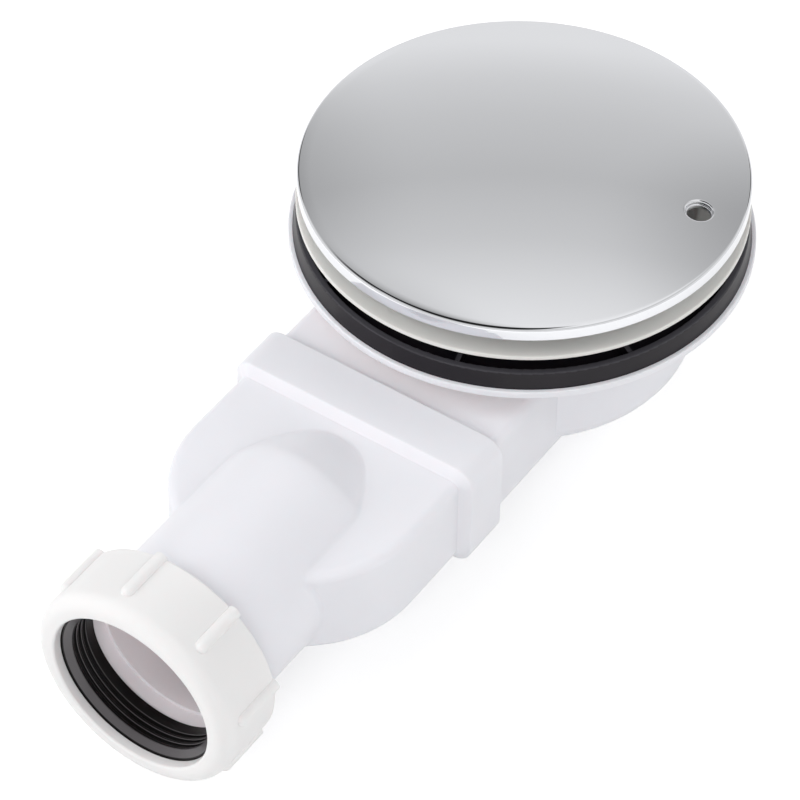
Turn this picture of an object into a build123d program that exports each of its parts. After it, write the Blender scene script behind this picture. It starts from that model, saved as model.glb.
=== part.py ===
from build123d import *
import os
from math import atan2, cos, pi, sin, sqrt, tan

# Low profile shower trap. Millimetres; +Z up the waste axis, +X along the outlet.
# Heights are measured from the plane where the gasket bears on the tray's underside.

# Cover plate, a shallow plated dome that stands on four legs
cover_radius = 56.5
cover_rim_height = 3.8
cover_dome_rise = 3.2
cover_wall = 2.0
cover_edge_round = 1.0
cover_foot_round = 0.6
drain_gap = 4.9
leg_count = 4
leg_thickness = 2.4
leg_tongue_width = 4.2
leg_tongue_depth = 4.0
lift_hole_radius = 3.0
lift_hole_bevel = 0.45
lift_hole_offset = 45.2
lift_hole_angle = 103.8

# Clamping flange, screwed down through the tray's waste hole
tray_gap = 4.7
flange_radius = 56.8
flange_edge = 1.0
flange_edge_round = 0.4
flange_hub_land = 2.4
flange_hub_thickness = 1.5
flange_hub_round = 2.4
flange_wall = 2.2
well_head_gap = 2.0
well_draft = 2.2
well_depth = 1.6
well_lip_round = 1.2
well_floor_round = 1.1
throat_boss_gap = 0.2
throat_length = 11.0
skirt_length = 7.0
skirt_clearance = 0.3

# Flat seal held in the flange's underside
flange_seal_margin = 2.0
flange_seal_outer_radius = 55.4
flange_seal_thickness = 1.3
flange_seal_recess = 0.5
seal_side_clearance = 0.2

# Flange screws and the bosses that take them
screw_count = 4
screw_circle_radius = 35.6
screw_radius = 2.0
screw_length = 13.0
screw_head_radius = 3.8
screw_head_height = 2.4
screw_head_side = 1.2
screw_head_flat_radius = 1.9
screw_crown_round = 2.4
screw_rim_round = 0.6
screw_hole_clearance = 0.3
screw_thread_clearance = 0.05
boss_wall = 2.2
boss_skirt_gap = 0.5
boss_web = 4.4
boss_seat_gap = 0.2
boss_floor = 1.2

# Tray gasket, a ribbed channel section
gasket_height = 4.6
gasket_radius = 57.7
gasket_lip_lean = 0.9
gasket_lip_width = 1.8
gasket_inner_lip_width = 2.2
gasket_floor = 1.5
gasket_lip_round = 0.4
gasket_rib_count = 8
gasket_rib_width = 1.2
gasket_rib_drop = 0.4
gasket_rib_angle = 16.6
gasket_guide_clearance = 0.3

# Trap bowl with its seat flange and flat outlet duct
body_wall = 2.5
body_flange_radius = 58.8
body_flange_edge = 2.0
body_flange_root = 4.4
body_flange_edge_round = 0.4
bowl_guide_height = 3.0
bowl_side_depth = 35.4
bowl_side_round = 4.0
bowl_base_depth = 56.0
bowl_base_radius = 24.0
bowl_base_round = 5.0
weir_above_axis = 1.0

# Flat duct and the socket collar that it enters
outlet_drop = 26.5
duct_width = 64.1
duct_height = 26.0
duct_round = 2.5
duct_inner_round = 1.3
duct_wall = 2.4
collar_start = 60.7
collar_length = 13.3
collar_wall = 2.65
collar_round = 5.0
collar_slant = 1.85
collar_edge_round = 0.5
socket_depth = 11.5
socket_clearance = 0.15

# Outlet chamber, half round in plan, and the pipe that runs out of it
chamber_arc_x = 95.0
chamber_round = 2.5
chamber_inner_round = 1.3
hump_round = 2.0
pipe_radius = 22.2
pipe_wall = 2.7
nose_x = 107.0
nose_length = 34.0
nose_steps = 4

# Spigot at the pipe's end, at the root of its thread
spigot_radius = 24.2
thread_height = 1.0
spigot_start = 145.6
spigot_end = 153.6
socket_bore_radius = 20.5
pipe_stop_x = 147.0
spigot_mouth_radius = 22.8
spigot_mouth_depth = 3.0
spigot_chamfer = 0.6

# Rubber outlet seal, gripping a 40 mm waste pipe
seal_grip_radius = 20.05
seal_groove_radius = 20.9
seal_lead_radius = 21.7
seal_lead_length = 1.6
seal_ring_count = 3
seal_ring_pitch = 1.7
seal_ring_width = 0.7
seal_radius = 25.0
seal_nose_length = 2.6
seal_gap = 0.3

# Compression nut
nut_back = 144.1
nut_front = 163.4
nut_radius = 27.8
nut_mouth_radius = 22.1
nut_lip = 2.6
nut_front_round = 3.6
nut_back_round = 0.7
nut_mouth_round = 0.6
nut_bore_clearance = 0.2
nut_rib_count = 8
nut_rib_radius = 1.7
nut_rib_height = 1.4
nut_rib_setback = 5.0
nut_rib_angle = 37.0

# Removable dip tube that makes the water seal
tube_rim_gap = 0.6
tube_rim_height = 1.8
tube_rim_round = 0.6
tube_top_length = 11.5
tube_top_clearance = 0.5
tube_radius = 21.0
tube_wall = 2.0
tube_funnel_length = 7.0
water_seal_depth = 20.0
tube_bar_width = 3.0
tube_bar_height = 3.0
tube_ring_radius = 11.0
o_ring_section = 2.0
o_ring_depth = 4.5
o_ring_clearance = 0.04
leg_socket_clearance = 0.3

# Radii set out from the screw circle, so that the pieces round it stay clear of each other
boss_radius = screw_radius + boss_wall
throat_radius = screw_circle_radius - boss_radius - throat_boss_gap - flange_wall
tube_rim_radius = screw_circle_radius - screw_head_radius - tube_rim_gap
well_radius = screw_circle_radius + screw_head_radius + well_head_gap
well_top_radius = well_radius + well_draft
flange_hub_radius = well_top_radius + flange_hub_land
flange_seal_inner_radius = flange_hub_radius + flange_seal_margin
bowl_inner_radius = screw_circle_radius + boss_radius + boss_skirt_gap + flange_wall + skirt_clearance
bowl_radius = bowl_inner_radius + body_wall
tube_top_radius = throat_radius - tube_top_clearance
tube_bore_radius = tube_top_radius - tube_wall - o_ring_section / 2
leg_tongue_radius = tube_bore_radius - leg_socket_clearance
leg_inner_radius = leg_tongue_radius - leg_tongue_width

# Levels and stations that several pieces share
flange_underside = tray_gap
flange_top = flange_underside + flange_edge
cover_bottom = flange_top + drain_gap
cover_rim_top = cover_bottom + cover_rim_height
cover_crown = cover_rim_top + cover_dome_rise
well_floor = -well_depth
well_underside = well_floor - flange_wall
tube_rim_top = well_floor + tube_rim_height
body_seat = -gasket_height
outlet_level = -outlet_drop
weir_crest = outlet_level + weir_above_axis
collar_end = collar_start + collar_length
socket_end = collar_start + socket_depth
tube_foot = weir_crest - water_seal_depth

# Local Z runs along the outlet, local X across it and local Y up
outlet_axis = Location(Plane((0, 0, outlet_level), x_dir=(0, 1, 0), z_dir=(1, 0, 0)))


def turned(*corners):
    """A ring turned about Z from closed corners (radius, height, optional round)."""
    points = [corner[:2] for corner in corners]
    rounds = [corner[2] if len(corner) > 2 else 0 for corner in corners]
    section = make_face(FilletPolyline(*points, radius=rounds, close=True))
    return revolve(Plane.XZ * section, Axis.Z)


def around(count, piece, start=0.0):
    """Copies of a piece evenly spaced about Z."""
    return [Rot(0, 0, start + index * 360 / count) * piece for index in range(count)]


def duct_slab(width, height, corner, start, end):
    """A rounded bar along the outlet, between two stations."""
    section = RectangleRounded(width, height, corner)
    return outlet_axis * Pos(0, 0, start) * extrude(section, end - start)


def dome_sag(radius):
    """How far the dome has fallen below its crown at a radius."""
    sphere = (cover_radius**2 + cover_dome_rise**2) / (2 * cover_dome_rise)
    return sphere - sqrt(sphere**2 - radius**2)


def cover_section():
    """Half section of the dome with its turned-down rim."""
    inner = cover_radius - cover_wall
    half = cover_radius / 2
    ceiling = cover_crown - cover_wall
    edges = [
        ThreePointArc((0, cover_crown), (half, cover_crown - dome_sag(half)), (cover_radius, cover_rim_top)),
        Polyline(
            (cover_radius, cover_rim_top),
            (cover_radius, cover_bottom),
            (inner, cover_bottom),
            (inner, ceiling - dome_sag(inner)),
        ),
        ThreePointArc((inner, ceiling - dome_sag(inner)), (half, ceiling - dome_sag(half)), (0, ceiling)),
        Line((0, ceiling), (0, cover_crown)),
    ]
    section = make_face(edges).face()
    shoulder = section.vertices().sort_by_distance((cover_radius, cover_rim_top))[0]
    section = section.fillet_2d(cover_edge_round, [shoulder])
    foot = section.vertices().sort_by_distance((cover_radius, cover_bottom))[0]
    return section.fillet_2d(cover_foot_round, [foot])


def cover_leg():
    """A leg that stands on the dip tube's rim, its tongue inside the rim."""
    top = cover_crown - cover_wall / 2 - dome_sag(tube_rim_radius)
    outline = Polyline(
        (leg_inner_radius, top),
        (tube_rim_radius, top),
        (tube_rim_radius, tube_rim_top),
        (leg_tongue_radius, tube_rim_top),
        (leg_tongue_radius, tube_rim_top - leg_tongue_depth),
        (leg_inner_radius, tube_rim_top - leg_tongue_depth),
        close=True,
    )
    return extrude(Plane.XZ * make_face(outline), leg_thickness / 2, both=True)


def cover_plate():
    """Plated dome, legs and the bevelled hole that a hook lifts it by."""
    dome = revolve(Plane.XZ * cover_section(), Axis.Z)
    hole = Pos(lift_hole_offset, 0, cover_bottom) * Cylinder(
        lift_hole_radius, cover_crown - cover_bottom, align=(Align.CENTER, Align.CENTER, Align.MIN)
    )
    dome = dome - Rot(0, 0, lift_hole_angle) * hole
    mouth = Rot(0, 0, lift_hole_angle) * Pos(lift_hole_offset, 0, cover_crown)
    brink = dome.edges().sort_by_distance(mouth.position)[0]
    dome = chamfer(brink, lift_hole_bevel)
    return dome + around(leg_count, cover_leg(), 180 / leg_count)


def clamp_flange():
    """Flange disc, screw well, throat for the dip tube and guide skirt."""
    hub_top = flange_underside + flange_hub_thickness
    skirt_outer = bowl_inner_radius - skirt_clearance
    skirt_inner = skirt_outer - flange_wall
    ring = turned(
        (flange_radius, flange_underside),
        (flange_radius, flange_top, flange_edge_round),
        (flange_hub_radius, hub_top, flange_hub_round),
        (well_top_radius, hub_top, well_lip_round),
        (well_radius, well_floor, well_floor_round),
        (throat_radius, well_floor),
        (throat_radius, well_underside - throat_length),
        (throat_radius + flange_wall, well_underside - throat_length),
        (throat_radius + flange_wall, well_underside),
        (skirt_inner, well_underside),
        (skirt_inner, well_underside - skirt_length),
        (skirt_outer, well_underside - skirt_length),
        (skirt_outer, flange_underside - flange_wall),
        (well_top_radius + flange_wall, flange_underside),
    )
    recess = turned(
        (flange_seal_inner_radius - seal_side_clearance, flange_underside + flange_seal_recess),
        (flange_seal_outer_radius + seal_side_clearance, flange_underside + flange_seal_recess),
        (flange_seal_outer_radius + seal_side_clearance, flange_underside - flange_edge),
        (flange_seal_inner_radius - seal_side_clearance, flange_underside - flange_edge),
    )
    hole = Pos(screw_circle_radius, 0, well_floor - flange_wall / 2) * Cylinder(
        screw_radius + screw_hole_clearance, 2 * flange_wall
    )
    return ring - recess - around(screw_count, hole, 180 / screw_count)


def flange_seal():
    """Flat rubber ring that seals the flange on the tray."""
    top = flange_underside + flange_seal_recess
    return turned(
        (flange_seal_inner_radius, top),
        (flange_seal_outer_radius, top),
        (flange_seal_outer_radius, top - flange_seal_thickness),
        (flange_seal_inner_radius, top - flange_seal_thickness),
    )


def flange_screws():
    """Pan head screws, heads down on the floor of the flange's well."""
    screw = turned(
        (0, screw_head_height),
        (screw_head_flat_radius, screw_head_height, screw_crown_round),
        (screw_head_radius, screw_head_side, screw_rim_round),
        (screw_head_radius, 0),
        (screw_radius, 0),
        (screw_radius, -screw_length),
        (0, -screw_length),
    )
    return around(screw_count, Pos(screw_circle_radius, 0, well_floor) * screw, 180 / screw_count)


def tray_gasket():
    """Rubber channel between the trap's seat flange and the tray, with radial ribs."""
    inner = bowl_radius + gasket_guide_clearance
    floor = body_seat + gasket_floor
    lip_top = gasket_radius - gasket_lip_lean
    channel = turned(
        (inner, body_seat),
        (gasket_radius, body_seat),
        (lip_top, 0, gasket_lip_round),
        (lip_top - gasket_lip_width, 0, gasket_lip_round),
        (lip_top - gasket_lip_width, floor),
        (inner + gasket_inner_lip_width, floor),
        (inner + gasket_inner_lip_width, 0, gasket_lip_round),
        (inner, 0, gasket_lip_round),
    )
    start = inner + gasket_inner_lip_width / 2
    length = lip_top - gasket_lip_width / 2 - start
    height = -gasket_rib_drop - body_seat - gasket_floor / 2
    rib = Pos(start, 0, body_seat + gasket_floor / 2) * Box(
        length, gasket_rib_width, height, align=(Align.MIN, Align.CENTER, Align.MIN)
    )
    return channel + around(gasket_rib_count, rib, gasket_rib_angle)


def bowl_shell(wall):
    """The bowl's turned form, drawn in from its outside by a wall."""
    turn = atan2(bowl_radius - bowl_base_radius, bowl_base_depth - bowl_side_depth)
    return turned(
        (0, -bowl_base_depth + wall),
        (bowl_base_radius - wall * tan(pi / 4 - turn / 2), -bowl_base_depth + wall, bowl_base_round - wall),
        (bowl_radius - wall, -bowl_side_depth + wall * tan(turn / 2), bowl_side_round - wall),
        (bowl_radius - wall, body_seat + bowl_guide_height + wall),
        (0, body_seat + bowl_guide_height + wall),
    )


def trap_bowl():
    """Bowl, seat flange, screw bosses and the flat duct behind the weir."""
    top = body_seat + bowl_guide_height
    outer = bowl_shell(0)
    seat = turned(
        (0, body_seat),
        (body_flange_radius, body_seat, body_flange_edge_round),
        (body_flange_radius, body_seat - body_flange_edge, body_flange_edge_round),
        (bowl_radius, body_seat - body_flange_root),
        (0, body_seat - body_flange_root),
    )
    duct = duct_slab(duct_width, duct_height, duct_round, 0, socket_end)
    body = outer + seat + duct
    inside = bowl_shell(body_wall)
    passage = duct_slab(
        duct_width - 2 * duct_wall, duct_height - 2 * duct_wall, duct_inner_round, 0, socket_end + duct_wall
    )
    weir_wall = Pos(0, 0, weir_crest) * Cylinder(
        bowl_radius, duct_height, align=(Align.CENTER, Align.CENTER, Align.MAX)
    )
    body = body - inside - (passage - weir_wall)
    boss_top = well_underside - boss_seat_gap
    boss_height = boss_floor + screw_length - (well_floor - boss_top)
    boss = Pos(screw_circle_radius, 0, boss_top) * Cylinder(
        boss_radius, boss_height, align=(Align.CENTER, Align.CENTER, Align.MAX)
    )
    web_reach = bowl_inner_radius + body_wall / 2 - screw_circle_radius
    web = Pos(screw_circle_radius, 0, boss_top - skirt_length - boss_seat_gap) * Box(
        web_reach, boss_web, boss_height - skirt_length, align=(Align.MIN, Align.CENTER, Align.MAX)
    )
    hole = Pos(screw_circle_radius, 0, boss_top) * Cylinder(
        screw_radius + screw_thread_clearance,
        boss_height - boss_floor,
        align=(Align.CENTER, Align.CENTER, Align.MAX),
    )
    start = 180 / screw_count
    return body + around(screw_count, boss + web, start) - around(screw_count, hole, start)


def dip_tube():
    """Lift-out tube with its rim, funnel, ring groove and strainer bars."""
    shoulder = well_floor - tube_top_length
    funnel_end = shoulder - tube_funnel_length
    groove_floor = throat_radius - o_ring_section - 2 * o_ring_clearance
    groove_top = well_floor - o_ring_depth
    groove_bottom = groove_top - o_ring_section - 2 * o_ring_clearance
    shell = turned(
        (tube_rim_radius, well_floor),
        (tube_rim_radius, tube_rim_top, tube_rim_round),
        (tube_bore_radius, tube_rim_top),
        (tube_bore_radius, shoulder),
        (tube_radius - tube_wall, funnel_end),
        (tube_radius - tube_wall, tube_foot),
        (tube_radius, tube_foot),
        (tube_radius, funnel_end),
        (tube_top_radius, shoulder),
        (tube_top_radius, groove_bottom),
        (groove_floor, groove_bottom),
        (groove_floor, groove_top),
        (tube_top_radius, groove_top),
        (tube_top_radius, well_floor),
    )
    bar = Pos(0, 0, tube_rim_top) * Box(
        2 * tube_bore_radius + tube_wall,
        tube_bar_width,
        tube_bar_height,
        align=(Align.CENTER, Align.CENTER, Align.MAX),
    )
    ring = turned(
        (tube_ring_radius, tube_rim_top),
        (tube_ring_radius, tube_rim_top - tube_bar_height),
        (tube_ring_radius - tube_bar_width, tube_rim_top - tube_bar_height),
        (tube_ring_radius - tube_bar_width, tube_rim_top),
    )
    return shell + ring + [bar, Rot(0, 0, 90) * bar]


def dip_tube_o_ring():
    """Rubber ring between the dip tube and the flange's throat."""
    middle = well_floor - o_ring_depth - o_ring_section / 2 - o_ring_clearance
    radius = throat_radius - o_ring_clearance - o_ring_section / 2
    return Pos(0, 0, middle) * Torus(radius, o_ring_section / 2)


def chamber_slab(wall, start, rounding):
    """The chamber's flat form with a half-round end, drawn in by a wall."""
    half_width = duct_width / 2 - wall
    height = duct_height - 2 * wall
    left, right = (chamber_arc_x, half_width), (chamber_arc_x, -half_width)
    plan = [
        Polyline(left, (start, half_width), (start, -half_width), right),
        ThreePointArc(right, (chamber_arc_x + half_width, 0), left),
    ]
    slab = Pos(0, 0, outlet_level - height / 2) * extrude(make_face(plan), height)
    rims = slab.faces().sort_by(Axis.Z)
    edges = rims[0].edges().sort_by(Axis.X)[1:] + rims[-1].edges().sort_by(Axis.X)[1:]
    return fillet(edges, rounding)


def pipe_core(radius, nose, end):
    """The outlet pipe as a solid bar with an egg-shaped nose inside the chamber."""
    angles = [step * pi / 2 / nose_steps for step in range(nose_steps + 1)]
    curve = [(radius * sin(angle), nose_x - nose * cos(angle)) for angle in angles]
    half = [
        Spline(*curve, tangents=((1, 0), (0, 1))),
        Polyline(curve[-1], (radius, end), (0, end), curve[0]),
    ]
    return outlet_axis * revolve(Plane.XZ * make_face(half), Axis.Z)


def outlet_chamber():
    """Socket collar, flat chamber, pipe and the spigot that the nut screws on."""
    collar_width = duct_width + 2 * (socket_clearance + collar_wall)
    collar_height = duct_height + 2 * (socket_clearance + collar_wall)
    collar = duct_slab(collar_width, collar_height, collar_round, collar_start, collar_end)
    collar = collar + loft(
        [
            outlet_axis * Pos(0, 0, collar_end) * RectangleRounded(collar_width, collar_height, collar_round),
            outlet_axis
            * Pos(0, 0, collar_end + collar_slant)
            * RectangleRounded(duct_width, duct_height, duct_round),
        ]
    )
    spigot = outlet_axis * turned(
        (0, spigot_start),
        (spigot_radius, spigot_start, spigot_chamfer),
        (spigot_radius, spigot_end, spigot_chamfer),
        (0, spigot_end),
    )
    for station in (collar_start, collar_end):
        collar = fillet(collar.edges().filter_by_position(Axis.X, station, station), collar_edge_round)
    slab = chamber_slab(0, collar_end, chamber_round)
    pipe = pipe_core(pipe_radius, nose_length, pipe_stop_x)
    chamber = slab + pipe
    chamber = fillet(new_edges(slab, pipe, combined=chamber), hump_round)
    outside = collar + chamber + spigot
    socket = duct_slab(
        duct_width + 2 * socket_clearance,
        duct_height + 2 * socket_clearance,
        duct_round,
        collar_start - duct_wall,
        socket_end,
    )
    bore = pipe_core(pipe_radius - pipe_wall, nose_length - pipe_wall, pipe_stop_x)
    mouth = outlet_axis * turned(
        (0, pipe_stop_x),
        (socket_bore_radius, pipe_stop_x),
        (socket_bore_radius, spigot_end - spigot_mouth_depth),
        (spigot_mouth_radius, spigot_end),
        (spigot_mouth_radius, spigot_end + spigot_mouth_depth),
        (0, spigot_end + spigot_mouth_depth),
    )
    hollow = chamber_slab(duct_wall, socket_end - duct_wall, chamber_inner_round)
    return outside - socket - hollow - bore - mouth


def outlet_seal():
    """Rubber seal with a wide lead-in and grip rings round the waste pipe."""
    front = nut_front - nut_lip - seal_gap
    shoulder = spigot_end + seal_gap
    nose_end = spigot_end - seal_nose_length
    slope = (spigot_mouth_radius - socket_bore_radius) / spigot_mouth_depth
    nose_root = spigot_mouth_radius - seal_gap
    lead_end = front - seal_lead_length
    corners = [(seal_lead_radius, front), (seal_grip_radius, lead_end)]
    for ring in range(seal_ring_count):
        back = lead_end - ring * seal_ring_pitch - seal_ring_width
        ahead = lead_end - (ring + 1) * seal_ring_pitch
        corners += [
            (seal_grip_radius, back),
            (seal_groove_radius, back),
            (seal_groove_radius, ahead),
            (seal_grip_radius, ahead),
        ]
    corners += [
        (seal_grip_radius, nose_end),
        (nose_root - slope * seal_nose_length, nose_end),
        (nose_root, spigot_end),
        (nose_root, shoulder),
        (seal_radius, shoulder),
        (seal_radius, front),
    ]
    return outlet_axis * turned(*corners)


def outlet_nut():
    """Compression nut with a rounded front and finger ribs."""
    bore = spigot_radius + thread_height + nut_bore_clearance
    lip_back = nut_front - nut_lip
    ring = turned(
        (nut_radius, nut_back, nut_back_round),
        (nut_radius, nut_front, nut_front_round),
        (nut_mouth_radius, nut_front, nut_mouth_round),
        (nut_mouth_radius, lip_back),
        (bore, lip_back),
        (bore, nut_back),
    )
    reach = nut_front - nut_rib_setback - nut_rib_radius - nut_back
    rib = Cylinder(nut_rib_radius, reach, align=(Align.CENTER, Align.CENTER, Align.MIN))
    rib = rib + Pos(0, 0, reach) * Sphere(nut_rib_radius)
    rib = Pos(nut_radius + nut_rib_height - nut_rib_radius, 0, nut_back) * rib
    return outlet_axis * (ring + around(nut_rib_count, rib, 90 - nut_rib_angle))


nodes = {
    "cover_plate": cover_plate,
    "clamp_flange": clamp_flange,
    "flange_seal": flange_seal,
    "flange_screws": flange_screws,
    "tray_gasket": tray_gasket,
    "trap_bowl": trap_bowl,
    "dip_tube": dip_tube,
    "dip_tube_o_ring": dip_tube_o_ring,
    "outlet_chamber": outlet_chamber,
    "outlet_seal": outlet_seal,
    "outlet_nut": outlet_nut,
}

os.makedirs("parts", exist_ok=True)
for name, make in nodes.items():
    made = make()
    pieces = made if isinstance(made, list) else [made]
    solids = [solid for piece in pieces for solid in piece.solids()]
    export_step(Compound(children=solids), f"parts/{name}.step")
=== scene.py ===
"""Looks of the low profile shower trap: finishes, cover, seal, threads, camera and studio."""

from __future__ import annotations

import logging
import math
from dataclasses import dataclass, field
from enum import Enum

import bpy
import numpy as np
from mathutils import Matrix, Vector

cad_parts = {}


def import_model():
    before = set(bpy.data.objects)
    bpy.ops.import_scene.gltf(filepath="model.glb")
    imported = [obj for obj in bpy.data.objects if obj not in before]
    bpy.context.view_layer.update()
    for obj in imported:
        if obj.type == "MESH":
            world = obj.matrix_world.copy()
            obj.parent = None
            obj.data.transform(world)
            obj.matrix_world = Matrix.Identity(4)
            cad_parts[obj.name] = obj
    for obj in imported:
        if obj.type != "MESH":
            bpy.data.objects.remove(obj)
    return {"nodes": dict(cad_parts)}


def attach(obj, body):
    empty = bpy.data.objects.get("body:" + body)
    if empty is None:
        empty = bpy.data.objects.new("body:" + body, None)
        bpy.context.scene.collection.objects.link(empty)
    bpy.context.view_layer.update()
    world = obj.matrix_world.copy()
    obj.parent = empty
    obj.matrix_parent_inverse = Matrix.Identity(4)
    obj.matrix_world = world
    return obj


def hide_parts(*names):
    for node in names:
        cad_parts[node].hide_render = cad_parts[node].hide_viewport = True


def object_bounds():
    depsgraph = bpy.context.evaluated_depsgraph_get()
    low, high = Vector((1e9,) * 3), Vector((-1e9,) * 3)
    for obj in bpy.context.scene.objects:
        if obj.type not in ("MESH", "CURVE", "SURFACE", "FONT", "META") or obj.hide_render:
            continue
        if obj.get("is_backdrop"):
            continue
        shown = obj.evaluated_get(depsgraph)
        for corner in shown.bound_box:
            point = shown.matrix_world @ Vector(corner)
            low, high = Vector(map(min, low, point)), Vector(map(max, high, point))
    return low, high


MM = 0.001
# A scale so large that an axis drops out of a mapped direction
FLAT = 1e6
LOG = logging.getLogger("shower_trap")
Profile = list[tuple[float, float]]
Colour = tuple[float, float, float, float]


class Body(str, Enum):
    """The rigid bodies that pieces ride on."""

    TRAP = "trap"
    SEAL = "seal"
    NUT = "nut"


class Slot(str, Enum):
    """Names of the record's material slots."""

    CHROME = "chrome"
    WHITE = "white_plastic"
    NUT = "nut_plastic"
    RUBBER = "black_rubber"


def linear(hex_colour: str) -> Colour:
    """Turns an sRGB hex colour into linear light.

    Args:
        hex_colour: six hex digits after a hash sign.

    Returns:
        Linear red, green and blue with an alpha of 1.
    """
    shares = [int(hex_colour[place : place + 2], 16) / 255 for place in (1, 3, 5)]
    red, green, blue = (
        share / 12.92 if share <= 0.04045 else ((share + 0.055) / 1.055) ** 2.4 for share in shares
    )
    return red, green, blue, 1.0


def add_node(tree: bpy.types.NodeTree, kind: str, inputs: dict | None = None, **settings) -> bpy.types.Node:
    """Adds a shader node, sets its properties and fills or links its sockets.

    Args:
        tree: the node tree that gets the node.
        kind: Blender's name for the node type.
        inputs: socket name or number to a value, or to an output socket to link.
        settings: node properties to set.

    Returns:
        The new node.
    """
    node = tree.nodes.new(kind)
    for name, value in settings.items():
        setattr(node, name, value)
    for socket, value in (inputs or {}).items():
        if isinstance(value, bpy.types.NodeSocket):
            tree.links.new(value, node.inputs[socket])
        else:
            node.inputs[socket].default_value = value
    return node


def new_material(name: str) -> tuple[bpy.types.Material, bpy.types.NodeTree]:
    """Makes an empty node material.

    Args:
        name: the material's name.

    Returns:
        The material and its cleared node tree.
    """
    material = bpy.data.materials.new(name)
    material.use_nodes = True
    material.node_tree.nodes.clear()
    return material, material.node_tree


def noise(
    tree: bpy.types.NodeTree, grain_mm: float, detail: float, distortion: float = 0.0
) -> bpy.types.NodeSocket:
    """Adds noise fixed to the piece.

    Args:
        tree: the node tree that gets it.
        grain_mm: the size of the noise's patches.
        detail: how many finer layers it has.
        distortion: how far the patches are stirred.

    Returns:
        The socket with the noise, 0 to 1.
    """
    place = add_node(tree, "ShaderNodeTexCoord").outputs["Object"]
    settings = {"Vector": place, "Scale": 1 / (grain_mm * MM), "Detail": detail, "Distortion": distortion}
    return add_node(tree, "ShaderNodeTexNoise", settings).outputs["Fac"]


def spread(
    tree: bpy.types.NodeTree, value: bpy.types.NodeSocket, low: float, high: float
) -> bpy.types.NodeSocket:
    """Adds a map of a 0 to 1 value on to a range.

    Args:
        tree: the node tree that gets it.
        value: the socket to map.
        low: the result at 0.
        high: the result at 1.

    Returns:
        The socket with the result.
    """
    settings = {"Value": value, "To Min": low, "To Max": high}
    return add_node(tree, "ShaderNodeMapRange", settings).outputs["Result"]


def blend(
    tree: bpy.types.NodeTree,
    share: bpy.types.NodeSocket,
    low: Colour | bpy.types.NodeSocket,
    high: Colour | bpy.types.NodeSocket,
) -> bpy.types.NodeSocket:
    """Adds a mix of two colours.

    Args:
        tree: the node tree that gets it.
        share: the socket with the second colour's share.
        low: the first colour, or a socket with it.
        high: the second colour, or a socket with it.

    Returns:
        The socket with the mixed colour.
    """
    settings = {"Factor": share, "A": low, "B": high}
    return add_node(tree, "ShaderNodeMix", settings, data_type="RGBA").outputs["Result"]


def relief(tree: bpy.types.NodeTree, height: bpy.types.NodeSocket, depth_mm: float) -> bpy.types.NodeSocket:
    """Adds a bump of a real depth.

    Args:
        tree: the node tree that gets it.
        height: the socket with the height, 0 to 1.
        depth_mm: how deep the full range is.

    Returns:
        The socket with the bent normal.
    """
    return add_node(tree, "ShaderNodeBump", {"Height": height, "Distance": depth_mm * MM}).outputs["Normal"]


def close_surface(tree: bpy.types.NodeTree, shader: bpy.types.Node) -> None:
    """Joins a shader to a new surface output.

    Args:
        tree: the material's node tree.
        shader: the node whose first output is the surface.
    """
    add_node(tree, "ShaderNodeOutputMaterial", {"Surface": shader.outputs[0]})


@dataclass(frozen=True)
class ChromePlate:
    """Bright chrome plate on moulded ABS: a clean mirror with a trace of orange peel."""

    colour: str = "#E4E5E8"
    roughness: float = 0.05
    roughness_spread: float = 0.03
    peel_mm: float = 9.0
    peel_height_mm: float = 0.0008

    def material(self) -> bpy.types.Material:
        """Makes the plate's material.

        Returns:
            The material.
        """
        material, tree = new_material("chrome_plated_abs")
        peel = noise(tree, self.peel_mm, detail=1.0)
        shader = add_node(
            tree,
            "ShaderNodeBsdfPrincipled",
            {
                "Base Color": linear(self.colour),
                "Metallic": 1.0,
                "Roughness": spread(tree, peel, self.roughness, self.roughness + self.roughness_spread),
                "Normal": relief(tree, peel, self.peel_height_mm),
            },
        )
        close_surface(tree, shader)
        return material


@dataclass(frozen=True)
class MouldedPolypropylene:
    """White polypropylene straight from the mould: satin gloss, a soft inner glow, and painted light that
    makes hollows paler and pinker.
    """

    name: str = "moulded_white_polypropylene"
    colour: str = "#EAEAEF"
    flow_colour: str = "#E6E6EB"
    roughness: float = 0.34
    roughness_spread: float = 0.10
    ior: float = 1.49
    painted_hollow_light_colour: str = "#F6F1F2"
    painted_hollow_light_mm: float = 90.0
    painted_hollow_light_share: float = 0.8
    painted_hollow_light_samples: int = 6
    glow_weight: float = 0.4
    glow_mm: float = 2.5
    glow_reach: tuple[float, float, float] = (1.0, 0.80, 0.80)
    flow_mm: float = 22.0
    grain_mm: float = 0.9
    grain_height_mm: float = 0.006

    def material(self) -> bpy.types.Material:
        """Makes the plastic's material.

        Returns:
            The material.
        """
        material, tree = new_material(self.name)
        flow = noise(tree, self.flow_mm, detail=2.0, distortion=0.6)
        skin = blend(tree, flow, linear(self.colour), linear(self.flow_colour))
        # Painted light: enclosed places are painted paler and pinker, for light that comes through the walls
        sky = add_node(
            tree,
            "ShaderNodeAmbientOcclusion",
            {"Distance": self.painted_hollow_light_mm * MM},
            samples=self.painted_hollow_light_samples,
            only_local=True,
        )
        openness = add_node(
            tree, "ShaderNodeMapRange", {"Value": sky.outputs["AO"], "From Max": self.painted_hollow_light_share}
        )
        shader = add_node(
            tree,
            "ShaderNodeBsdfPrincipled",
            {
                "Base Color": blend(tree, openness.outputs["Result"], linear(self.painted_hollow_light_colour), skin),
                "Roughness": spread(tree, flow, self.roughness, self.roughness + self.roughness_spread),
                "IOR": self.ior,
                "Subsurface Weight": self.glow_weight,
                "Subsurface Radius": self.glow_reach,
                "Subsurface Scale": self.glow_mm * MM,
                "Normal": relief(tree, noise(tree, self.grain_mm, detail=2.0), self.grain_height_mm),
            },
        )
        close_surface(tree, shader)
        return material


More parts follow.
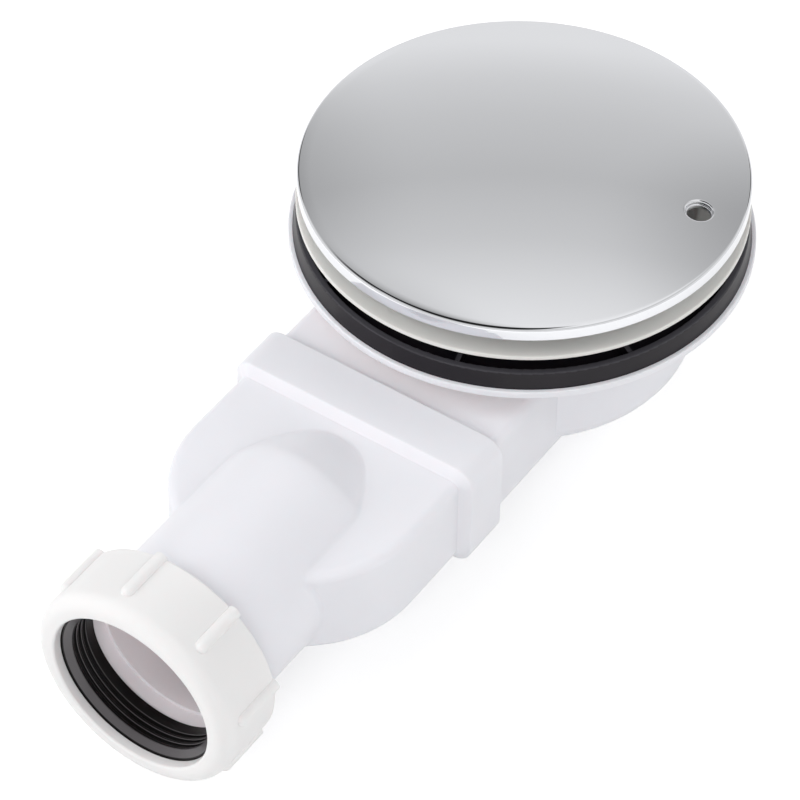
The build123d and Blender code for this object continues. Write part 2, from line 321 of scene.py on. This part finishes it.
@dataclass(frozen=True)
class MouldedRubber:
    """Black moulded rubber: deep, with a soft sheen, a trace of pale bloom, and painted light on its upper
    ledges.
    """

    name: str = "moulded_black_rubber"
    colour: str = "#131015"
    bloom_colour: str = "#1E1A20"
    roughness: float = 0.36
    specular: float = 0.27
    bloom_mm: float = 9.0
    painted_ledge_light_colour: str = "#48474C"
    painted_ledge_light_levels_mm: tuple[float, float] = (-1.0, -0.5)
    painted_ledge_light_slopes: tuple[float, float] = (0.4, 0.9)
    grain_mm: float = 0.35
    grain_height_mm: float = 0.006

    def painted_ledge_light(self, tree: bpy.types.NodeTree) -> bpy.types.NodeSocket:
        """Adds the share of painted light, which lies on ledges that face up, near the tray's underside and
        above it.

        Args:
            tree: the material's node tree.

        Returns:
            The socket with the share, 0 to 1.
        """
        levels = tuple(level * MM for level in self.painted_ledge_light_levels_mm)
        shares = {}
        for place, (source, (low, high)) in enumerate((("Object", levels), ("Normal", self.painted_ledge_light_slopes))):
            vector = add_node(tree, "ShaderNodeTexCoord").outputs[source]
            upward = add_node(tree, "ShaderNodeSeparateXYZ", {"Vector": vector}).outputs["Z"]
            settings = {"Value": upward, "From Min": low, "From Max": high}
            shares[place] = add_node(tree, "ShaderNodeMapRange", settings).outputs["Result"]
        return add_node(tree, "ShaderNodeMath", shares, operation="MULTIPLY").outputs["Value"]

    def material(self) -> bpy.types.Material:
        """Makes the rubber's material.

        Returns:
            The material.
        """
        material, tree = new_material(self.name)
        bloom = noise(tree, self.bloom_mm, detail=4.0)
        bare_tone = blend(tree, bloom, linear(self.colour), linear(self.bloom_colour))
        shader = add_node(
            tree,
            "ShaderNodeBsdfPrincipled",
            {
                # Painted light: up-facing ledges near the tray's underside are painted pale grey
                "Base Color": blend(tree, self.painted_ledge_light(tree), bare_tone, linear(self.painted_ledge_light_colour)),
                "Roughness": self.roughness,
                "Specular IOR Level": self.specular,
                "Normal": relief(tree, noise(tree, self.grain_mm, detail=2.0), self.grain_height_mm),
            },
        )
        close_surface(tree, shader)
        return material


@dataclass(frozen=True)
class StainlessSteel:
    """Cold-headed stainless steel: grey metal, dulled by tumbling."""

    colour: str = "#C4C3C1"
    roughness: float = 0.28
    roughness_spread: float = 0.12
    scuff_mm: float = 1.2

    def material(self) -> bpy.types.Material:
        """Makes the steel's material.

        Returns:
            The material.
        """
        material, tree = new_material("tumbled_stainless_steel")
        scuff = noise(tree, self.scuff_mm, detail=3.0)
        shader = add_node(
            tree,
            "ShaderNodeBsdfPrincipled",
            {
                "Base Color": linear(self.colour),
                "Metallic": 1.0,
                "Roughness": spread(tree, scuff, self.roughness, self.roughness + self.roughness_spread),
            },
        )
        close_surface(tree, shader)
        return material


@dataclass
class Finishes:
    """Every finish on the trap, made once and shared."""

    chrome: bpy.types.Material = field(default_factory=ChromePlate().material)
    white: bpy.types.Material = field(default_factory=MouldedPolypropylene().material)
    # Painted light: light comes through the pipe's wall, so its inside is painted paler and pinker
    outlet_white: bpy.types.Material = field(
        default_factory=MouldedPolypropylene(
            name="moulded_thin_white_polypropylene", painted_hollow_light_colour="#FFF4F5"
        ).material
    )
    # The nut has none of the bowl's blue, and a duller skin
    nut_white: bpy.types.Material = field(
        default_factory=MouldedPolypropylene(
            name="moulded_neutral_white_polypropylene",
            colour="#EBEAEA",
            flow_colour="#E7E6E6",
            roughness=0.38,
        ).material
    )
    # The flange is a shade creamier and denser than the bowl
    flange_white: bpy.types.Material = field(
        default_factory=MouldedPolypropylene(
            name="moulded_warm_white_polypropylene", colour="#E2E0DC", flow_colour="#DEDCD8", glow_weight=0.3
        ).material
    )
    rubber: bpy.types.Material = field(default_factory=MouldedRubber().material)
    # Painted shade: the seal lies deep in the nut, so its rubber is painted darker than the gasket's, almost
    # black
    shaded_seal_rubber: bpy.types.Material = field(
        default_factory=MouldedRubber(
            name="moulded_black_rubber_painted_shade", colour="#080707", bloom_colour="#0E0C0C", specular=0.22
        ).material
    )
    # Painted highlight: the seal's lead-in and rings' front edges are painted greyer, and given a stronger
    # sheen
    seal_painted_glint: bpy.types.Material = field(
        default_factory=MouldedRubber(
            name="black_rubber_painted_glint", colour="#3A3639", bloom_colour="#464245", roughness=0.3, specular=0.7
        ).material
    )
    steel: bpy.types.Material = field(default_factory=StainlessSteel().material)


def dress(obj: bpy.types.Object, material: bpy.types.Material) -> None:
    """Gives an object one material.

    Args:
        obj: a mesh object.
        material: the material for all its faces.
    """
    obj.data.materials.clear()
    obj.data.materials.append(material)
    LOG.info("dressed %s in %s", obj.name, material.name)


def sweep(name: str, rings: np.ndarray, loops: bool, closed: bool, sharp_deg: float) -> bpy.types.Object:
    """Makes a mesh of four-sided faces between successive rows of points.

    Args:
        name: the new object's name.
        rings: rows of points in millimetres, shaped (rows, points, 3).
        loops: whether each row runs round to its own start.
        closed: whether the last row joins the first.
        sharp_deg: edges that turn by more than this stay crisp.

    Returns:
        The new object, in metres.
    """
    rows, count, _ = rings.shape
    index = np.arange(rows * count).reshape(rows, count)
    across = np.concatenate([index, index[:, :1]], axis=1) if loops else index
    along = np.concatenate([across, across[:1]], axis=0) if closed else across
    faces = np.stack([along[:-1, :-1], along[:-1, 1:], along[1:, 1:], along[1:, :-1]], axis=-1).reshape(-1, 4)
    mesh = bpy.data.meshes.new(name)
    mesh.from_pydata((rings.reshape(-1, 3) * MM).tolist(), [], faces.tolist())
    mesh.shade_smooth()
    mesh.set_sharp_from_angle(angle=math.radians(sharp_deg))
    obj = bpy.data.objects.new(name, mesh)
    bpy.context.scene.collection.objects.link(obj)
    LOG.info("built %s: %d faces", name, len(faces))
    return obj


def arc(centre: tuple[float, float], radius: float, start_deg: float, end_deg: float, steps: int) -> Profile:
    """Points along an arc.

    Args:
        centre: the arc's centre.
        radius: its radius.
        start_deg: where it starts, from the first axis.
        end_deg: where it ends.
        steps: how many parts it is cut into.

    Returns:
        The points, both ends among them.
    """
    angles = np.radians(np.linspace(start_deg, end_deg, steps + 1))
    return [(centre[0] + radius * math.cos(angle), centre[1] + radius * math.sin(angle)) for angle in angles]


def rounded(corners: list[tuple[float, float, float]], steps: int) -> Profile:
    """Rounds the corners of a closed outline.

    Args:
        corners: the outline's corners with the round of each.
        steps: how many parts each round is cut into.

    Returns:
        The outline's points.
    """
    points: Profile = []
    for place, (first, second, radius) in enumerate(corners):
        here = Vector((first, second))
        before = (Vector(corners[place - 1][:2]) - here).normalized()
        after = (Vector(corners[(place + 1) % len(corners)][:2]) - here).normalized()
        if radius == 0:
            points.append(tuple(here))
            continue
        half = before.angle(after) / 2
        middle = here + (before + after).normalized() * radius / math.sin(half)
        reach = radius / math.tan(half)
        start, end = here + before * reach - middle, here + after * reach - middle
        turn = start.angle_signed(end)
        for step in range(steps + 1):
            spoke = Matrix.Rotation(-turn * step / steps, 2) @ start
            points.append(tuple(middle + spoke))
    return points


def along_outlet(profile: Profile, angles: np.ndarray, level: float) -> np.ndarray:
    """Turns an outline about the outlet's axis.

    Args:
        profile: (radius, station) points in millimetres.
        angles: turns about +X, in radians.
        level: the axis's height in millimetres.

    Returns:
        Rows of points, one row for each point of the outline.
    """
    radius, station = (np.array(part)[:, None] for part in zip(*profile))
    across, above = -radius * np.sin(angles), level + radius * np.cos(angles)
    return np.stack([np.broadcast_to(station, across.shape), across, above], axis=-1)


@dataclass
class CoverPlate:
    """Plated dome with a turned-down rim, a stepped lift hole and four legs, as fine as a mirror needs."""

    radius: float = 56.5
    bottom: float = 10.6
    rim_height: float = 3.8
    rise: float = 3.2
    wall: float = 2.0
    edge_round: float = 1.0
    foot_round: float = 0.6
    hole_radius: float = 3.0
    hole_lip: float = 0.55
    hole_step: float = 0.3
    hole_step_depth: float = 1.0
    hole_offset: float = 45.2
    hole_angle_deg: float = 103.8
    leg_outer: float = 31.2
    leg_tongue: float = 25.2
    leg_inner: float = 21.0
    leg_step: float = 0.2
    leg_foot: float = -3.8
    leg_thickness: float = 2.4
    leg_count: int = 4
    spokes: int = 400
    dome_rows: int = 56
    dome_crowding: float = 1.5
    edge_steps: int = 12
    foot_steps: int = 6
    lip_steps: int = 9
    crisp_deg: float = 28.0

    @property
    def sphere(self) -> float:
        """The dome's radius of curvature."""
        return (self.radius**2 + self.rise**2) / (2 * self.rise)

    @property
    def sphere_level(self) -> float:
        """The height of the dome's centre of curvature."""
        return self.bottom + self.rim_height + self.rise - self.sphere

    def lifted(self, plan: np.ndarray, drop: float = 0.0) -> np.ndarray:
        """Raises plan points on to the dome.

        Args:
            plan: points shaped (..., 2).
            drop: how far under the dome's top they lie.

        Returns:
            Points shaped (..., 3).
        """
        height = self.sphere_level + np.sqrt(self.sphere**2 - (plan**2).sum(-1)) - drop
        return np.concatenate([plan, height[..., None]], axis=-1)

    def rim(self) -> Profile:
        """Draws the rim, from the dome's edge round to the inside of the rim.

        Returns:
            The rim's (radius, height) points.
        """
        spoke = self.radius - self.edge_round
        reach = math.sqrt((self.sphere - self.edge_round) ** 2 - spoke**2)
        lean = math.degrees(math.atan2(reach, spoke))
        inner = self.radius - self.wall
        foot = (self.radius - self.foot_round, self.bottom + self.foot_round)
        ceiling = self.sphere_level + math.sqrt(self.sphere**2 - inner**2) - self.wall
        return [
            *arc((spoke, self.sphere_level + reach), self.edge_round, lean, 0, self.edge_steps),
            *arc(foot, self.foot_round, 0, -90, self.foot_steps),
            (inner, self.bottom),
            (inner, ceiling),
        ]

    def lips(self) -> Profile:
        """Draws the lift hole's step and lip, from the bore up to the dome.

        Returns:
            Points of distance from the hole's axis and depth under the dome.
        """
        step = (self.hole_radius + self.hole_step, self.hole_step_depth + self.hole_step)
        lip = (step[0] + self.hole_lip, self.hole_lip)
        return [
            *arc(step, self.hole_step, 180, 270, self.lip_steps),
            *arc(lip, self.hole_lip, 180, 270, self.lip_steps),
        ]

    def shell(self) -> bpy.types.Object:
        """Makes the dome with its rim and hole, on spokes that start at the hole.

        Returns:
            The shell object.
        """
        turn = math.radians(self.hole_angle_deg)
        hole = self.hole_offset * np.array([math.cos(turn), math.sin(turn)])
        angles = np.linspace(0, 2 * np.pi, self.spokes, endpoint=False)
        spoke = np.stack([np.cos(angles), np.sin(angles)], axis=-1)
        rim, lips = self.rim(), self.lips()
        ahead = spoke @ hole
        edge = hole + spoke * (np.sqrt(ahead**2 + rim[0][0] ** 2 - hole @ hole) - ahead)[:, None]
        outward = edge / np.linalg.norm(edge, axis=1)[:, None]
        brink = hole + spoke * lips[-1][0]
        wall = hole + spoke * self.hole_radius
        shares = np.linspace(0, 1, self.dome_rows)[:-1, None, None] ** self.dome_crowding
        dome = self.lifted(brink + (edge - brink) * shares)
        sides = np.stack([np.insert(outward * radius, 2, height, axis=1) for radius, height in rim])
        inner = outward * rim[-1][0]
        ceiling = self.lifted(wall + (inner - wall) * shares[:0:-1], self.wall)
        bore = self.lifted(wall, self.wall)[None]
        steps = np.stack([self.lifted(hole + spoke * radius, drop) for radius, drop in lips[:-1]])
        rows = np.concatenate([dome, sides, ceiling, bore, steps])
        return sweep("cover_shell", rows, loops=True, closed=True, sharp_deg=self.crisp_deg)

    def leg(self, place: int) -> bpy.types.Object:
        """Makes one leg.

        Args:
            place: the leg's number round the cover.

        Returns:
            The leg object.
        """
        top = self.sphere_level + math.sqrt(self.sphere**2 - self.leg_outer**2) - self.wall / 2
        outline = [
            (self.leg_inner, top),
            (self.leg_outer, top),
            (self.leg_outer, self.leg_step),
            (self.leg_tongue, self.leg_step),
            (self.leg_tongue, self.leg_foot),
            (self.leg_inner, self.leg_foot),
        ]
        half = self.leg_thickness / 2
        corners = [(radius, side, height) for side in (-half, half) for radius, height in outline]
        points = [Vector(corner) * MM for corner in corners]
        count = len(outline)
        faces = [tuple(range(count - 1, -1, -1)), tuple(range(count, 2 * count))]
        for corner in range(count):
            following = (corner + 1) % count
            faces.append((corner, following, following + count, corner + count))
        mesh = bpy.data.meshes.new(f"cover_leg_{place}")
        mesh.from_pydata(points, [], faces)
        mesh.transform(Matrix.Rotation(2 * math.pi * (place + 0.5) / self.leg_count, 4, "Z"))
        leg = bpy.data.objects.new(f"cover_leg_{place}", mesh)
        bpy.context.scene.collection.objects.link(leg)
        LOG.info("built %s: %d faces", leg.name, len(faces))
        return leg

    def build(self, chrome: bpy.types.Material) -> None:
        """Puts the cover in the place of the plain solid.

        Args:
            chrome: the plate's finish.
        """
        shell = self.shell()
        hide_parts("cover_plate")
        for piece in [shell, *(self.leg(place) for place in range(self.leg_count))]:
            dress(piece, chrome)
            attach(piece, Body.TRAP.value)


@dataclass
class OutletSeal:
    """Rubber seal whose grip rings have soft edges that catch the light, with a painted highlight on its
    lead-in and the rings' front edges.
    """

    front: float = 160.5
    lead_length: float = 1.6
    lead_radius: float = 21.7
    grip_radius: float = 20.05
    groove_radius: float = 20.9
    ring_count: int = 3
    ring_pitch: float = 1.7
    ring_width: float = 0.7
    ring_round: float = 0.33
    nose_end: float = 151.0
    nose_radius: float = 20.507
    root_station: float = 153.6
    root_radius: float = 22.5
    shoulder: float = 153.9
    radius: float = 25.0
    edge_round: float = 0.4
    nose_round: float = 0.1
    level: float = -26.5
    spokes: int = 192
    round_steps: int = 5
    crisp_deg: float = 50.0

    def outline(self) -> Profile:
        """Draws the seal's rounded section, with round_steps + 1 points to each rounded corner.

        Returns:
            The section's (radius, station) points.
        """
        lead_end = self.front - self.lead_length
        corners = [
            (self.lead_radius, self.front, self.edge_round),
            (self.grip_radius, lead_end, self.ring_round),
        ]
        for ring in range(self.ring_count):
            back = lead_end - ring * self.ring_pitch - self.ring_width
            ahead = lead_end - (ring + 1) * self.ring_pitch
            corners += [
                (self.grip_radius, back, self.ring_round),
                (self.groove_radius, back, self.ring_round),
                (self.groove_radius, ahead, self.ring_round),
                (self.grip_radius, ahead, self.ring_round),
            ]
        corners += [
            (self.grip_radius, self.nose_end, self.nose_round),
            (self.nose_radius, self.nose_end, self.nose_round),
            (self.root_radius, self.root_station, 0),
            (self.root_radius, self.shoulder, 0),
            (self.radius, self.shoulder, 0),
            (self.radius, self.front, 0),
        ]
        return rounded(corners, self.round_steps)

    def build(self, rubber: bpy.types.Material, edge: bpy.types.Material) -> None:
        """Puts the seal in the place of the plain solid, with a painted highlight on its lead-in and its
        rings' front edges.

        Args:
            rubber: the seal's finish.
            edge: the finish with the painted highlight.
        """
        angles = np.linspace(0, 2 * np.pi, self.spokes, endpoint=False)
        rows = along_outlet(self.outline(), angles, self.level)
        seal = sweep("grip_seal", rows, loops=True, closed=True, sharp_deg=self.crisp_deg)
        dress(seal, rubber)
        seal.data.materials.append(edge)
        # Rows that get the painted highlight: the lead-in and each ring's front edge
        corner = self.round_steps + 1
        glint_rows = [self.round_steps]
        for ring in range(self.ring_count + 1):
            row = (1 + 4 * ring) * corner + 1
            glint_rows += [row, row + 1]
        for row in glint_rows:
            for face in range(row * self.spokes, (row + 1) * self.spokes):
                seal.data.polygons[face].material_index = 1
        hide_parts("outlet_seal")
        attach(seal, Body.SEAL.value)


@dataclass
class Thread:
    """A moulded right-hand thread ridge about the outlet's axis."""

    name: str
    body: Body
    slot: Slot
    root_radius: float
    height: float
    start: float
    end: float
    phase: float = 0.0
    pitch: float = 3.0
    root_width: float = 1.5
    crest_width: float = 0.8
    sink: float = 0.05
    run_out_deg: float = 50.0
    level: float = -26.5
    steps_per_turn: int = 96
    crisp_deg: float = 40.0

    def build(self, plastic: bpy.types.Material) -> None:
        """Makes the ridge, low at both ends.

        Args:
            plastic: the moulding's finish.
        """
        first = 2 * np.pi * ((self.start + self.root_width / 2) / self.pitch - self.phase)
        last = 2 * np.pi * ((self.end - self.root_width / 2) / self.pitch - self.phase)
        angles = np.linspace(first, last, int((last - first) / (2 * np.pi) * self.steps_per_turn))
        station = (angles / (2 * np.pi) + self.phase) * self.pitch
        near_end = np.minimum(angles - first, last - angles) / math.radians(self.run_out_deg)
        crest = self.root_radius + self.height * np.clip(near_end, 0, 1)
        root = np.full_like(angles, self.root_radius - math.copysign(self.sink, self.height))
        sides = [
            (root, -self.root_width / 2),
            (crest, -self.crest_width / 2),
            (crest, self.crest_width / 2),
            (root, self.root_width / 2),
        ]
        rows = []
        for radius, offset in sides:
            across, above = -radius * np.sin(angles), self.level + radius * np.cos(angles)
            rows.append(np.stack([station + offset, across, above], axis=-1))
        ridge = sweep(self.name, np.stack(rows, axis=1), loops=True, closed=False, sharp_deg=self.crisp_deg)
        dress(ridge, plastic)
        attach(ridge, self.body.value)


@dataclass
class Camera:
    """The camera, solved from the cover's and flange's circles in the photo."""

    place_mm: tuple[float, float, float] = (568.5, 349.3, 629.2)
    heading_deg: float = 34.16
    elevation_deg: float = 46.33
    roll_deg: float = 0.61
    lens_mm: float = 164.62
    sensor_mm: float = 36.0
    sight_mm: float = 100000.0

    def build(self) -> bpy.types.Object:
        """Makes the scene's camera.

        Returns:
            The camera object.
        """
        heading, elevation, roll = (
            math.radians(angle) for angle in (self.heading_deg, self.elevation_deg, self.roll_deg)
        )
        towards = Vector((math.cos(heading), math.sin(heading), 0))
        level = Vector((-math.sin(heading), math.cos(heading), 0))
        back = towards * math.cos(elevation) + Vector((0, 0, math.sin(elevation)))
        down = towards * math.sin(elevation) - Vector((0, 0, math.cos(elevation)))
        right = level * math.cos(roll) - down * math.sin(roll)
        up = -(level * math.sin(roll) + down * math.cos(roll))
        data = bpy.data.cameras.new("camera")
        data.lens = self.lens_mm
        data.sensor_width = self.sensor_mm
        data.clip_end = self.sight_mm * MM
        camera = bpy.data.objects.new("camera", data)
        turn = Matrix((right, up, back)).transposed().to_4x4()
        camera.matrix_world = Matrix.Translation(Vector(self.place_mm) * MM) @ turn
        bpy.context.scene.collection.objects.link(camera)
        bpy.context.scene.camera = camera
        return camera


def direction(azimuth_deg: float, elevation_deg: float) -> Vector:
    """A direction from its angles.

    Args:
        azimuth_deg: turn about +Z from +X.
        elevation_deg: height above the floor.

    Returns:
        The unit vector.
    """
    azimuth, elevation = math.radians(azimuth_deg), math.radians(elevation_deg)
    flat = math.cos(elevation)
    return Vector((math.cos(azimuth) * flat, math.sin(azimuth) * flat, math.sin(elevation)))


@dataclass
class Softbox:
    """A square soft light that faces the trap and stays out of its mirrors."""

    name: str
    azimuth_deg: float
    elevation_deg: float
    watts: float
    distance_mm: float = 1100.0
    side_mm: float = 700.0

    def build(self) -> bpy.types.Object:
        """Makes the light.

        Returns:
            The light object.
        """
        away = direction(self.azimuth_deg, self.elevation_deg)
        data = bpy.data.lights.new(self.name, "AREA")
        data.size = self.side_mm * MM
        data.energy = self.watts
        light = bpy.data.objects.new(self.name, data)
        light.location = away * self.distance_mm * MM
        light.rotation_mode = "QUATERNION"
        light.rotation_quaternion = away.to_track_quat("Z", "Y")
        light.visible_glossy = False
        bpy.context.scene.collection.objects.link(light)
        LOG.info("lit %s: %.1f W", self.name, self.watts)
        return light


@dataclass(frozen=True)
class Shade:
    """A soft darker patch of the room, seen only in what mirrors it."""

    azimuth_deg: float
    elevation_deg: float
    reach: tuple[float, float]
    level: float
    core: float = 0.2

    def build(self, tree: bpy.types.NodeTree, way: bpy.types.NodeSocket) -> bpy.types.NodeSocket:
        """Adds the patch to the world.

        Args:
            tree: the world's node tree.
            way: the socket with the direction looked in.

        Returns:
            The socket with the share of light that is left.
        """
        middle = direction(self.azimuth_deg, self.elevation_deg)
        level_axis = Vector((0, 0, 1)).cross(middle).normalized()
        turn = Matrix((level_axis, middle.cross(level_axis), middle)).transposed()
        beside = add_node(
            tree,
            "ShaderNodeMapping",
            {"Vector": way, "Rotation": turn.to_euler(), "Scale": (*self.reach, FLAT)},
            vector_type="TEXTURE",
        )
        away = add_node(tree, "ShaderNodeVectorMath", {0: beside.outputs["Vector"]}, operation="LENGTH")
        return add_node(
            tree,
            "ShaderNodeMapRange",
            {"Value": away.outputs["Value"], "From Min": self.core, "To Min": self.level},
            interpolation_type="SMOOTHSTEP",
        ).outputs["Result"]


@dataclass
class Studio:
    """White floor, soft lights and the pale room that the chrome mirrors."""

    floor_side_mm: float = 40000.0
    floor_colour: str = "#E6E6E6"
    floor_lift: float = 0.42
    room_light: float = 0.50
    room_peak: float = 1.3
    # Brightness by elevation in degrees: the dome is grey across its middle and pale towards front and back
    room_bands: tuple[tuple[float, float], ...] = (
        (0, 1.10),
        (30, 1.16),
        (34, 0.97),
        (38, 0.86),
        (44, 0.76),
        (50, 0.89),
        (58, 1.22),
        (70, 1.30),
        (90, 1.30),
    )
    shades: tuple[Shade, ...] = (
        # Grey towards the dome's right and left edge
        Shade(189.0, 45.0, (0.21, 0.24), 0.72),
        Shade(238.0, 37.0, (0.26, 0.38), 0.60),
        # Dark line along the cover's edge: in front, at the left, at the front left and at the right
        Shade(310.0, 78.0, (0.66, 0.41), 0.02, 0.75),
        Shade(249.0, 28.0, (0.24, 0.22), 0.05, 0.60),
        Shade(288.0, 51.0, (0.30, 0.14), 0.10, 0.50),
        Shade(176.0, 28.0, (0.20, 0.20), 0.08, 0.50),
    )
    lights: tuple[Softbox, ...] = (
        Softbox("left_softbox", -50.0, 30.0, 5.4),
        Softbox("high_left_softbox", -50.0, 60.0, 1.0),
        Softbox("front_softbox", 34.0, 30.0, 4.0),
        Softbox("right_softbox", 124.0, 35.0, 3.4),
        Softbox("back_softbox", 240.0, 45.0, 1.5),
    )

    def floor(self, level: float) -> bpy.types.Object:
        """Makes the white floor, which still takes the trap's shadow.

        Args:
            level: the floor's height in metres.

        Returns:
            The floor object.
        """
        half = self.floor_side_mm * MM / 2
        mesh = bpy.data.meshes.new("floor")
        corners = [(-half, -half, level), (half, -half, level), (half, half, level), (-half, half, level)]
        mesh.from_pydata(corners, [], [(0, 1, 2, 3)])
        floor = bpy.data.objects.new("floor", mesh)
        bpy.context.scene.collection.objects.link(floor)
        floor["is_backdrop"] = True
        material, tree = new_material("white_paper_floor")
        paper = add_node(tree, "ShaderNodeBsdfDiffuse", {"Color": linear(self.floor_colour)})
        lift = spread(tree, self.seen(tree), 0.0, self.floor_lift)
        glow = add_node(tree, "ShaderNodeEmission", {"Strength": lift})
        both = add_node(tree, "ShaderNodeAddShader", {0: paper.outputs[0], 1: glow.outputs[0]})
        close_surface(tree, both)
        mesh.materials.append(material)
        return floor

    def seen(self, tree: bpy.types.NodeTree) -> bpy.types.NodeSocket:
        """Adds a socket that is 1 for what the camera sees, straight or in a mirror.

        Args:
            tree: the node tree that gets it.

        Returns:
            The output socket.
        """
        path = add_node(tree, "ShaderNodeLightPath")
        direct = add_node(
            tree,
            "ShaderNodeMath",
            {0: path.outputs["Is Camera Ray"], 1: path.outputs["Is Transmission Ray"]},
            operation="MAXIMUM",
        )
        return add_node(
            tree,
            "ShaderNodeMath",
            {0: direct.outputs[0], 1: path.outputs["Is Glossy Ray"]},
            operation="MAXIMUM",
        ).outputs[0]

    def mirrored_room(self, tree: bpy.types.NodeTree) -> bpy.types.NodeSocket:
        """Adds what glossy pieces mirror: pale bands by height, with darker patches.

        Args:
            tree: the world's node tree.

        Returns:
            The socket with the room's brightness by direction.
        """
        way = add_node(tree, "ShaderNodeTexCoord").outputs["Generated"]
        height = add_node(tree, "ShaderNodeSeparateXYZ", {"Vector": way}).outputs["Z"]
        bands = add_node(tree, "ShaderNodeValToRGB", {"Fac": height})
        stops = bands.color_ramp.elements
        while len(stops) < len(self.room_bands):
            stops.new(0.5)
        for stop, (elevation, level) in zip(stops, self.room_bands):
            stop.position = math.sin(math.radians(elevation))
            stop.color = (*[level / self.room_peak] * 3, 1.0)
        light = spread(tree, bands.outputs["Color"], 0.0, self.room_peak)
        for shade in self.shades:
            share = {0: light, 1: shade.build(tree, way)}
            light = add_node(tree, "ShaderNodeMath", share, operation="MULTIPLY").outputs[0]
        return light

    def room(self) -> None:
        """Makes the world: even light for the trap, bands in its chrome, and white behind it."""
        world = bpy.data.worlds.new("pale_room")
        world.use_nodes = True
        bpy.context.scene.world = world
        tree = world.node_tree
        tree.nodes.clear()
        path = add_node(tree, "ShaderNodeLightPath")
        lit = spread(tree, path.outputs["Is Camera Ray"], self.room_light, 1.0)
        strength = add_node(
            tree,
            "ShaderNodeMix",
            {"Factor": path.outputs["Is Glossy Ray"], "A": lit, "B": self.mirrored_room(tree)},
        )
        room = add_node(tree, "ShaderNodeBackground", {"Strength": strength.outputs["Result"]})
        add_node(tree, "ShaderNodeOutputWorld", {"Surface": room.outputs[0]})

    def build(self, level: float) -> None:
        """Makes the floor, the lights and the room.

        Args:
            level: the floor's height in metres.
        """
        self.floor(level)
        self.room()
        for light in self.lights:
            light.build()


def main() -> None:
    """Loads the frame, dresses every piece and sets up the studio."""
    logging.basicConfig(level=logging.INFO, format="%(name)s: %(message)s")
    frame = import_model()
    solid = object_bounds()
    bpy.context.scene.view_settings.view_transform = "Standard"
    finishes = Finishes()
    nodes = frame["nodes"]
    for name in ("trap_bowl", "dip_tube"):
        dress(nodes[name], finishes.white)
    for name in ("flange_seal", "tray_gasket", "dip_tube_o_ring"):
        dress(nodes[name], finishes.rubber)
    dress(nodes["outlet_chamber"], finishes.outlet_white)
    dress(nodes["outlet_nut"], finishes.nut_white)
    dress(nodes["clamp_flange"], finishes.flange_white)
    dress(nodes["flange_screws"], finishes.steel)
    CoverPlate().build(finishes.chrome)
    OutletSeal().build(finishes.shaded_seal_rubber, finishes.seal_painted_glint)
    spigot_thread = Thread(
        "spigot_thread",
        Body.TRAP,
        Slot.WHITE,
        root_radius=24.2,
        height=0.9,
        start=146.4,
        end=153.0,
    )
    spigot_thread.build(finishes.outlet_white)
    nut_thread = Thread(
        "nut_thread",
        Body.NUT,
        Slot.NUT,
        root_radius=25.4,
        height=-0.9,
        start=145.0,
        end=153.2,
        phase=0.5,
    )
    nut_thread.build(finishes.nut_white)
    Camera().build()
    Studio().build(solid[0].z)


if __name__ == "__main__":
    main()
